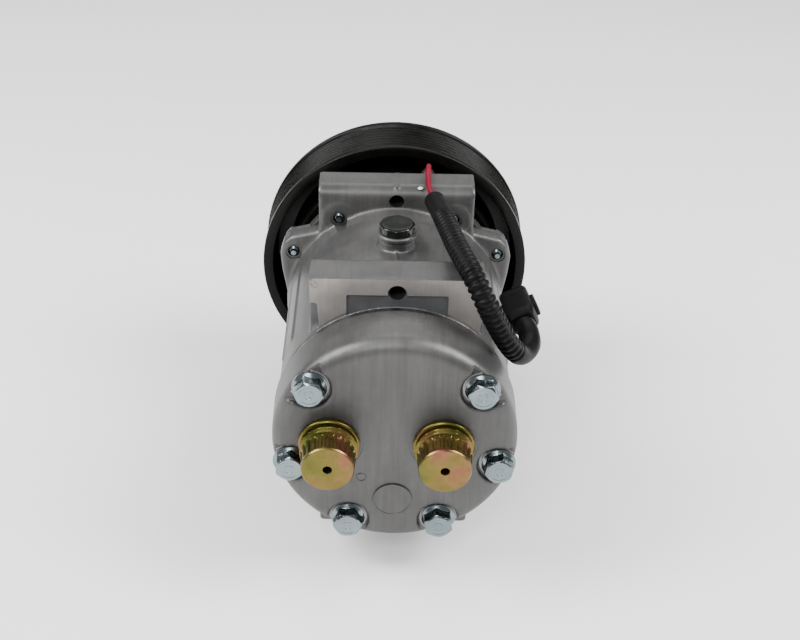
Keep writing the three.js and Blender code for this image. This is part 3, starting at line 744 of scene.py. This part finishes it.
# ---------- hex bolts ----------
def hex_bolt(
    name, station, facing, flange, across_flats, height, flange_height, shank, length, turn, sides=96,
):
    """A flanged hex bolt on the bolt node's axis, its seat at a station and its head facing along Y
    or against it, with a chamfered top and a stepped mark in it. flange and shank are radii."""
    x, z = axis(name)
    apothem = across_flats / 2
    corner = apothem / math.cos(math.pi / 6)
    edge = 0.16 * height

    def limit(h):
        """The chamfer's radius at a height above the seat."""
        return corner + 0.15 - max(0, h - (height - edge)) * (corner + 0.15 - apothem * 0.93) / edge

    def washer(h):
        """The flange's radius at a height above the seat."""
        if h < flange_height * 0.45:
            return flange - 0.25 * max(0, 0.2 - h)
        above = h - flange_height * 0.45
        return flange - 0.25 - above * (flange - 0.25 - apothem) / (flange_height * 0.75)

    def shape(angle, r, y):
        h = (y - station) * facing
        if h < 0 or h > height + 0.01 or r < 0.92 * apothem * 0.93:
            return r
        spot = (angle + turn) % (math.pi / 3) - math.pi / 6
        flat = min(apothem / math.cos(spot), corner - 0.12)
        return max(washer(h) if h < flange_height * 1.2 else 0, min(flat, limit(h)))

    heights = [0, 0.08, 0.2]
    heights += [flange_height * f for f in (0.4, 0.45, 0.5, 0.6, 0.7, 0.8, 0.9, 1.0, 1.1, 1.19, 1.21)]
    heights += [height - edge * f for f in (1.1, 0.9, 0.75, 0.6, 0.45, 0.3, 0.15, 0.05, 0)]
    section = [(0, -length), (shank * 0.5, -length), (shank * 0.6, -length + 2)]
    section += [(shank, -length + 3), (shank, 0)]
    section += [(corner, h) for h in heights]
    crown = [(0.8, 0.1), (0.72, 0.12), (0.69, 0.02), (0.42, 0.02), (0.4, 0.12)]
    crown += [(0.3, 0.12), (0.28, 0), (0.16, 0), (0.12, 0.1)]
    section += [(apothem * f, height + rise - 0.08) for f, rise in crown] + [(0, height + 0.04)]
    points = [(r, station + facing * h) for r, h in section]
    return turned(name + "_piece", points, (x, z), sides, radius=shape)


def head_bolts():
    for k, name in enumerate(BOLTS):
        bolt = hex_bolt(
            name, POCKET_FLOOR - 0.2, facing=-1, flange=8.5, across_flats=13, height=7.9,
            flange_height=1.9, shank=3.9, length=53.3, turn=math.radians(11 + 23 * k),
        )
        place(bolt, "root", [ZINC], [name], sharp=24)


ARM_BOLT = (143.8, 17.4)  # seat and shank length of the two bolts in the cover's arms
RIM_BOLT = (158, 31.6)  # and of the four in its rim


def cover_bolts():
    for k in range(1, 7):
        name = f"cover_bolt_{k}"
        seat, length = ARM_BOLT if k < 3 else RIM_BOLT
        bolt = hex_bolt(
            name, seat, facing=1, flange=5.6, across_flats=9.6, height=4.5, flange_height=1.4,
            shank=2.9, length=length, turn=math.radians(7 + 31 * k), sides=72,
        )
        place(bolt, "root", [ZINC], [name], sharp=24)


# ---------- ports ----------
def port_fitting(port):
    x, z = axis(f"{port}_fitting")
    pitch, major, minor = 2.5, 13.9, 12.1
    start, end = -4.6, -10.5

    def thread(angle, r, y):
        if not end <= y <= start or r < 10:
            return r
        phase = (y / pitch + angle / (2 * math.pi)) % 1
        fade = min(1, (start - y) / 0.8, (y - end) / 0.5)
        return minor + (major - minor) * (1 - abs(2 * phase - 1)) * fade

    section = rounded([
        (4, 6), (5.6, 6), (5.6, -1.3), (14.6, -1.3, 0.15), (14.85, -1.9, 0.3), (14.85, -3.6, 0.5),
        (14.1, -4.2, 0.3), (minor, -4.2),
    ], steps=3)
    count = 40
    section += [(minor, start + (end - start) * k / count) for k in range(count + 1)]
    section += [(9.5, end - 0.1), (9.5, -17.6), (4, -17.6)]
    piece = turned(f"{port}_fitting_piece", section, (x, z), 128, closed=True, radius=thread)
    return place(piece, "root", [GOLD], [f"{port}_fitting"], sharp=35)


def port_cap(port):
    """A screwed shipping cap: a fluted skirt, a flat end and a small vent."""
    x, z = axis(f"{port}_cap")
    teeth = 22
    flute_start, flute_end = -11.2, -19.9

    def flutes(angle, r, y):
        if r < 12.4 or y < flute_end:
            return r
        ends = max(0, min(1, (flute_start - y) / 0.3)) * max(0, min(1, (y - flute_end) / 0.9))
        wave = math.cos(teeth * angle)
        return r - 0.95 * ends * max(0, min(1, 0.5 + 1.4 * wave))

    skirt = [-10.9, -11.05, -11.2, -11.4, -11.6, -12.5, -14, -16]
    skirt += [-18, -18.8, -19.1, -19.4, -19.7, -19.9, -20.2]
    taper = 0.08
    section = [(9.8, -10.9), *[(13.3 - taper * (skirt[0] - y), y) for y in skirt]]
    end = 13.3 - taper * (skirt[0] - skirt[-1])
    section += rounded([
        (end, -20.2), (end, CAP_END + 0.9, 0.4), (end - 0.6, CAP_END, 0.3), (2.2, CAP_END, 0.2),
        (2.0, CAP_END + 3), (2.0, -18),
    ])[1:]
    section += [(9.8, -18)]
    piece = turned(f"{port}_cap_piece", section, (x, z), 264, closed=True, radius=flutes)
    return place(piece, "root", [GOLD], [f"{port}_cap"], sharp=30)


# ---------- cylinder block ----------
BLOCK_REAR = 31
BLOCK_FRONT = 149.4
EAR_HALF = 42
EAR_TOP = 72
EAR_BORE_Z = 64
REAR_EAR = (34, 53.5)
FRONT_EAR = (128.5, 149.4)
WING = (128, 138.5)
ARM = (138.8, 143.5)
EAR_EYES = (44, 139)
PLUG_STATION = 93
BEADS = [(53, 84, 58.9), (102, 129, 58.9), (35, 53, 72.1), (131, 149, 72.1)]  # start, end, top
RIBS = (14, 27, 153, 166, 200, 218, 322, 340)  # where they are round the barrel, in degrees
WING_OUTLINE = [(38, 46.6), (57.5, 41.8), (61.6, 38), (63.6, 31), (62.6, 20), (60, 5), (38, 5)]
COVER_BOLTS = [axis(f"cover_bolt_{k}") for k in range(1, 7)]


def mirrored(obj):
    obj.data.transform(Matrix.Scale(-1, 4, (1, 0, 0)))
    return outward(obj)


def turn_over(obj, side):
    """Leaves a piece where it is on side 1, and turns it under the barrel on side -1."""
    if side < 0:
        obj.data.transform(Matrix.Rotation(math.pi, 4, "Y"))
    return obj


def ear_bar(side, start, end, rear_round):
    """A mounting ear's bar: its section in YZ, drawn across the casting."""
    foot = 40
    corners = [(start, foot), (start, EAR_TOP, rear_round), (end, EAR_TOP, 1.2), (end, foot)]
    section = rounded(corners, closed=True, steps=6)
    rings = [[(x, y, z) for y, z in section] for x in (-EAR_HALF, EAR_HALF)]
    return turn_over(skin("ear", rings), side)


def lugs(radius, start, end):
    """Bosses round the four cover bolts under and beside the ears."""
    return [rod("lug", x, z, radius, start, end) for x, z in COVER_BOLTS[2:]]


def wings(start, end, inset, soft):
    """The plates at the sides, from the ear's foot down to the barrel."""
    plates = []
    for side in (1, -1):
        outline = [(side * (x - inset), z - inset) for x, z in WING_OUTLINE]
        plates.append(softened(slab("wing", outline, start, end), soft, segments=4))
    return plates


def cylinder_block():
    barrel = rounded([(0, BLOCK_REAR), (58.5, BLOCK_REAR, 0.8), (58.5, BLOCK_FRONT), (0, BLOCK_FRONT)])
    parts = [turned("barrel", barrel, sides=192)]
    collar = [(0, 120), (58.3, 120), (60.5, 129.5), (60.5, WING[1]), (0, WING[1])]
    collar = turned("collar", collar, sides=160)
    parts += [collar, *lugs(9, WING[0], BLOCK_FRONT), *wings(*WING, 0, 2.4)]
    for side in (1, -1):
        parts.append(ear_bar(side, REAR_EAR[0] + 1.2, REAR_EAR[1], 1.5))
        parts.append(ear_bar(side, *FRONT_EAR, 6.5))
        for start, end, top in BEADS:
            bead = across("bead", 0, 0, 0.9, 1, 16)
            middle = Matrix.Translation((0, (start + end) / 2, top - 0.55))
            stretch = Matrix.Scale((end - start) / 2, 4, (0, 1, 0))
            bead.data.transform(middle @ stretch @ Matrix.Rotation(math.pi / 2, 4, "Z"))
            parts.append(turn_over(bead, side))
    parts.append(upright("boss", [(0, 50), (9.5, 50), (9.4, 63.2), (0, 63.2)], 0, PLUG_STATION))
    for degrees in RIBS:
        angle = math.radians(degrees)
        x, z = 57.9 * math.cos(angle), 57.9 * math.sin(angle)
        parts.append(rod("rib", x, z, 1.6, 50, 128.5, 16))
    block = cast(merged("cylinder_block_casting", parts), 0.75, 6)

    milled = []
    for side in (1, -1):
        corners = [
            (-EAR_HALF, EAR_TOP, 0.5), (-EAR_HALF, 58.5), (-38.5, 58.5, 1.5), (-37.2, 40),
            (EAR_HALF - 2.5, 40), (EAR_HALF, 52, 1), (EAR_HALF, EAR_TOP, 0.5),
        ]
        pad = slab("milled_pad", rounded(corners, closed=True), REAR_EAR[0], REAR_EAR[0] + 4)
        milled.append(turn_over(pad, side))
    joined(block, *milled)

    cutters = []
    for k in range(1, 8):
        low, high = span(f"piston_{k}")
        x, z = (low.x + high.x) / 2, (low.z + high.z) / 2
        cutters.append(rod("cylinder", x, z, 14.65, BLOCK_REAR - 1, 81, 96))
    for side in (1, -1):
        for (start, end), eye in zip((REAR_EAR, FRONT_EAR), EAR_EYES):
            cutters.append(across("eye", eye, side * EAR_BORE_Z, 5.2, EAR_HALF + 2, 64))
            mouth = 4.75 if start == REAR_EAR[0] else 4.3
            section = [(0, start - 0.1), (mouth, start - 0.1), (4.12, start + 0.6), (4.12, eye), (0, eye)]
            cutters.append(turned("well", section, (0, side * EAR_BORE_Z), 64))
        recess = rounded([(-24.3, 63.2, 1), (-24.3, 50), (24.6, 50), (24.6, 63.2, 1)], closed=True)
        recess = slab("recess", recess, REAR_EAR[0] - 2, REAR_EAR[0] + 1.6)
        cutters.append(turn_over(recess, side))
    cutters.append(rod("crankcase", 0, 0, 53, 80, BLOCK_FRONT + 1, 160))
    gear_stem_hole = 9.3
    cutters.append(rod("stem_hole", 0, 0, gear_stem_hole, 58, 81, 64))
    for name in BOLTS:
        x, z = axis(name)
        cutters.append(rod("hole", x, z, BOLT_HOLE_RADIUS, BLOCK_REAR - 1, 57, 32))
    for x, z in COVER_BOLTS:
        cutters.append(rod("hole", x, z, 3.3, 120, BLOCK_FRONT + 1, 32))
        cutters.append(rod("counterbore", x, z, 4.6, 120, 128.6, 32))
    cutters.append(upright("plug_hole", [(0, 45), (5.4, 45), (5.4, 66), (0, 66)], 0, PLUG_STATION, 32))
    cutters.append(box("front_face", (-90, BLOCK_FRONT, -90), (90, BLOCK_FRONT + 6, 90)))
    for side in (1, -1):
        corner = [(36.5, -EAR_TOP - 1), (EAR_HALF + 1, -EAR_TOP - 1), (EAR_HALF + 1, -65)]
        corner = [(side * x, z) for x, z in corner]
        cutters.append(slab("corner", corner, REAR_EAR[0] - 1, REAR_EAR[1] + 1))
    cut(block, *cutters)

    def is_milled(centre, normal):
        """The rear ear's rear face and the block's front face."""
        rear = normal.y < -0.98 and abs(centre.y - REAR_EAR[0]) < 0.05
        return rear or (normal.y > 0.98 and abs(centre.y - BLOCK_FRONT) < 0.05)

    def in_bore(centre, normal):
        """The cylinders' walls."""
        return math.hypot(centre.x, centre.z) < 52.5 and centre.y < 80 and abs(normal.y) < 0.1

    def is_as_cast(centre, normal):
        """The recess in the rear ear's face and the steps beside it, which the mill leaves alone."""
        return normal.y < -0.9 and REAR_EAR[0] + 0.6 < centre.y < REAR_EAR[0] + 2.2 and abs(centre.z) > 38

    paint(block, 1, lambda c, n: is_milled(c, n) or in_bore(c, n))
    paint(block, 2, is_as_cast)
    return place(block, "root", [CAST, MILLED, CAST_SKIN], ["cylinder_block"], sharp=30)


def paint_dot():
    """A dab of inspection paint on the front ear's rounded corner."""
    section = [(0, 71.4), (1.5, 71.4), (1.3, 71.75), (0.7, 71.95), (0, 72.0)]
    blob = upright("paint_dot", section, 12.6, 131.2, 24)
    return place(blob, "root", [WHITE_PAINT], sharp=80)


def oil_plug():
    """The filler plug: an aluminium collar under a glossy black cap that is nearly round."""
    collar = upright("oil_plug_collar", rounded([
        (5, 54), (5, 63.5), (9.9, 63.5, 0.3), (10.3, 64.2, 0.3), (10.3, 65.6, 0.5), (9.6, 66.2, 0.3),
        (0, 66.2), (0, 54),
    ]), 0, PLUG_STATION, 96)

    def facets(angle, r, _):
        spot = angle % (math.pi / 4) - math.pi / 8
        return r if r < 5 else min(r * 0.985, r * 0.955 / math.cos(spot))

    head = upright("oil_plug_head", rounded([
        (0, 66.4), (8.9, 66.4, 0.3), (9.35, 67.0, 0.4), (9.35, 70.2, 0.9), (8.1, 71.0, 0.8), (0, 71.0),
    ], steps=5), 0, PLUG_STATION, 96, radius=facets)
    place(collar, "root", [CAST], ["oil_plug"])
    return place(head, "root", [GLOSS_BLACK], sharp=30)


# ---------- front housing, coil and clutch ----------
COVER = (149.7, 157.7)
ROOM_END = 149.6  # the arms leave room for the block up to here
BARREL_ROOM = 59
EAR_ROOM = 47.3


def front_housing():
    """The front cover: a disc with lugs and a nose, and two arms that reach back beside the block."""
    start, end = COVER
    parts = [rod("disc", 0, 0, 60, start, end, 160), *lugs(8.5, start, end), *wings(*ARM, 1.2, 1)]
    for side in (1, -1):
        bridge = box("bridge", (50.5, ARM[0], 17.5), (62.5, end, 26.5))
        parts.append(bridge if side > 0 else mirrored(bridge))
    parts.append(turned("nose", rounded([
        (0, start), (19.5, start), (19.5, 160.7, 0.6), (17.5, 160.7, 0.8), (17.5, 197, 0.8), (0, 197),
    ]), sides=96))
    housing = cast(merged("front_housing_casting", parts), 0.8, 3)
    bore = turned("bore", [
        (0, 148), (13.3, 148), (13.3, 171), (9.7, 171), (9.7, 174.5), (15.3, 174.5), (15.3, 198), (0, 198),
    ])
    holes = [rod("hole", x, z, 3.3, 137, 159, 32) for x, z in COVER_BOLTS]
    barrel_room = rod("barrel_room", 0, 0, BARREL_ROOM, ARM[0] - 1, ROOM_END, 160)
    ear_room = []
    for side in (1, -1):
        room = box("ear_room", (-EAR_ROOM, ARM[0] - 1, 0), (EAR_ROOM, ROOM_END, 80))
        ear_room.append(turn_over(room, side))
    cut(housing, bore, *holes, barrel_room, *ear_room)
    return place(housing, "root", [CAST], ["front_housing"], sharp=30)


GROOVES = 8
GROOVE_PITCH = 3.56
RIM_RADIUS = 77.3
PULLEY_REAR = 169.9
PULLEY_FRONT = 205


def pulley():
    side = (PULLEY_FRONT - PULLEY_REAR - GROOVES * GROOVE_PITCH) / 2
    corners = [(71.3, PULLEY_REAR, 0.5), (RIM_RADIUS, PULLEY_REAR, 0.9)]
    corners.append((RIM_RADIUS, PULLEY_REAR + side - 0.5, 0.4))
    for k in range(GROOVES):
        y = PULLEY_REAR + side + k * GROOVE_PITCH
        corners += [(RIM_RADIUS - 0.35, y, 0.35), (RIM_RADIUS - 2.75, y + 0.42 * GROOVE_PITCH, 0.5)]
        corners += [(RIM_RADIUS - 2.75, y + 0.58 * GROOVE_PITCH, 0.5)]
    corners += [(RIM_RADIUS - 0.35, PULLEY_FRONT - side, 0.35)]
    corners += [
        (RIM_RADIUS, PULLEY_FRONT - side + 0.5, 0.4), (RIM_RADIUS, PULLEY_FRONT, 0.9),
        (71.3, PULLEY_FRONT, 0.6), (70.6, 199.5, 2.5), (61.5, 199.5, 1.5), (60.9, 203.3, 0.4),
        (26, 203.3, 0.4), (26, 196.5, 0.2), (27.8, 196.5, 0.2), (27.8, 170.5, 0.4), (31.3, 170.5, 0.4),
        (31.3, 196.5, 0.6), (56.8, 196.5, 0.6), (56.8, 166.5, 0.4), (60.9, 166.5, 0.4), (60.9, 192, 1.5),
        (71.3, 192, 2.0),
    ]
    piece = turned("pulley_piece", rounded(corners, closed=True, steps=3), sides=256, closed=True)
    return place(piece, "pulley_assembly", [BLACK_STEEL], ["pulley"], sharp=50)


def field_coil():
    body = turned("field_coil_piece", rounded([
        (20, 158), (56.1, 158, 0.4), (56.1, 194, 0.8), (52, 194, 0.3), (51.4, 192.6, 0.3),
        (36, 192.6, 0.3), (35.4, 194, 0.3), (32, 194, 0.8), (32, 161.5, 1.5), (20, 161.5, 0.4),
    ], closed=True), sides=160, closed=True)
    outlet = softened(box("outlet", (13, 158.2, 48), (22, 165, 59)), 1.2, segments=3)
    joined(body, outlet)
    return place(body, "root", [RESIN], ["field_coil"], sharp=30)


def grommet():
    """The moulded bead where the wire leaves the coil: turned lying down, then stood up."""
    bead = turned("lead_grommet", rounded([
        (1.7, 159.2), (3.6, 159.2, 1.2), (3.9, 162.0, 1.2), (2.4, 164.2, 0.8), (1.7, 164.2),
    ], closed=True), (0, 0), 40, closed=True)
    middle = 161.6
    stand = Matrix.Translation((17.5, middle, 65.0)) @ Matrix.Rotation(math.pi / 2, 4, "X")
    bead.data.transform(stand @ Matrix.Translation((0, -middle, 0)))
    return place(bead, "root", [RESIN], sharp=60)


def clutch_hub():
    """The hub with its three-sided spring plate."""
    hub = turned("clutch_hub_piece", rounded([
        (7.9, 199), (14, 199, 0.5), (14, 209.2, 0.5), (20, 209.2), (20, 211.2, 0.6), (12, 211.2, 0.8),
        (9.6, 209.8, 0.4), (9.6, 204.4), (7.9, 204.4),
    ], closed=True), sides=96, closed=True)

    def three_sided(angle, r, _):
        return r if r < 30 else r - 7.5 * (0.5 + 0.5 * math.cos(3 * angle)) ** 1.3

    plate = turned("spring_plate", rounded([
        (19, 209.2), (47, 209.2, 0.4), (47, 210.9, 0.6), (19, 210.9),
    ], closed=True), sides=192, closed=True, radius=three_sided)
    joined(hub, plate)
    return place(hub, "shaft_assembly", [BLACK_STEEL], ["clutch_hub"], sharp=30)


rear_head()
head_bolts()
port_fitting("suction")
port_fitting("discharge")
port_cap("suction")
port_cap("discharge")
cylinder_block()
oil_plug()
paint_dot()
cover_bolts()
front_housing()
pulley()
field_coil()
grommet()
clutch_hub()


# ---------- pieces kept from the CAD model ----------
STEEL_NODES = [
    "valve_plate", "drive_shaft", "cam_rotor", "front_bearing", "rotor_thrust_bearing",
    "plate_thrust_bearing", "wobble_plate", "fixed_gear", "pivot_ball", "pulley_bearing", "armature_plate",
]
for k in range(1, 8):
    STEEL_NODES += [f"rod_ball_{k}", f"connecting_rod_{k}"]
KEPT = [
    (STEEL, STEEL_NODES),
    (ZINC, ["hub_nut"]),
    (RUBBER, ["shaft_seal"]),
    (MILLED, [f"piston_{k}" for k in range(1, 8)]),
]
for material, names in KEPT:
    for name in names:
        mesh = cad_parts[name].data
        mesh.materials.clear()
        mesh.materials.append(material)


# ---------- floor and light ----------
def floor():
    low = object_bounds()[0].z - 0.0002
    reach = 6
    corners = [(x * reach, y * reach, low) for x, y in ((-1, -1), (1, -1), (1, 1), (-1, 1))]
    plane = new_mesh("floor", corners, [(0, 1, 2, 3)])
    net = Net("floor", 0.9, 0.0)
    net.colour(net.ramp(net.noise(2), [(0.3, (0.86, 0.86, 0.86)), (0.7, (0.88, 0.88, 0.88))]))
    net.shader.inputs["Specular IOR Level"].default_value = 0.1
    plane.data.materials.append(net.material)
    return plane


def softbox(name, spot, target, width, depth, power):
    light = bpy.data.lights.new(name, "AREA")
    light.shape = "RECTANGLE"
    light.size = width
    light.size_y = depth
    light.energy = power
    lamp = bpy.data.objects.new(name, light)
    lamp.location = spot
    lamp.rotation_euler = (Vector(target) - Vector(spot)).to_track_quat("-Z", "Y").to_euler()
    bpy.context.scene.collection.objects.link(lamp)
    return lamp


world = bpy.data.worlds.new("studio")
world.use_nodes = True
world.node_tree.nodes["Background"].inputs["Color"].default_value = (1, 1, 1, 1)
world.node_tree.nodes["Background"].inputs["Strength"].default_value = 0.34
bpy.context.scene.world = world
stage = [floor()]
stage.append(softbox("left_box", (-0.95, -0.15, 0.95), (0, -0.03, 0), 0.6, 0.8, 30))
stage.append(softbox("right_box", (0.95, -0.15, 0.95), (0, -0.03, 0), 0.6, 0.8, 30))
stage.append(softbox("front_box", (0, 1.0, 1.1), (0, 0, 0), 1.2, 0.5, 7))
stage.append(softbox("rear_box", (-0.3, -1.1, 1.2), (0, 0, 0), 0.6, 0.5, 12))
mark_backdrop(*stage)
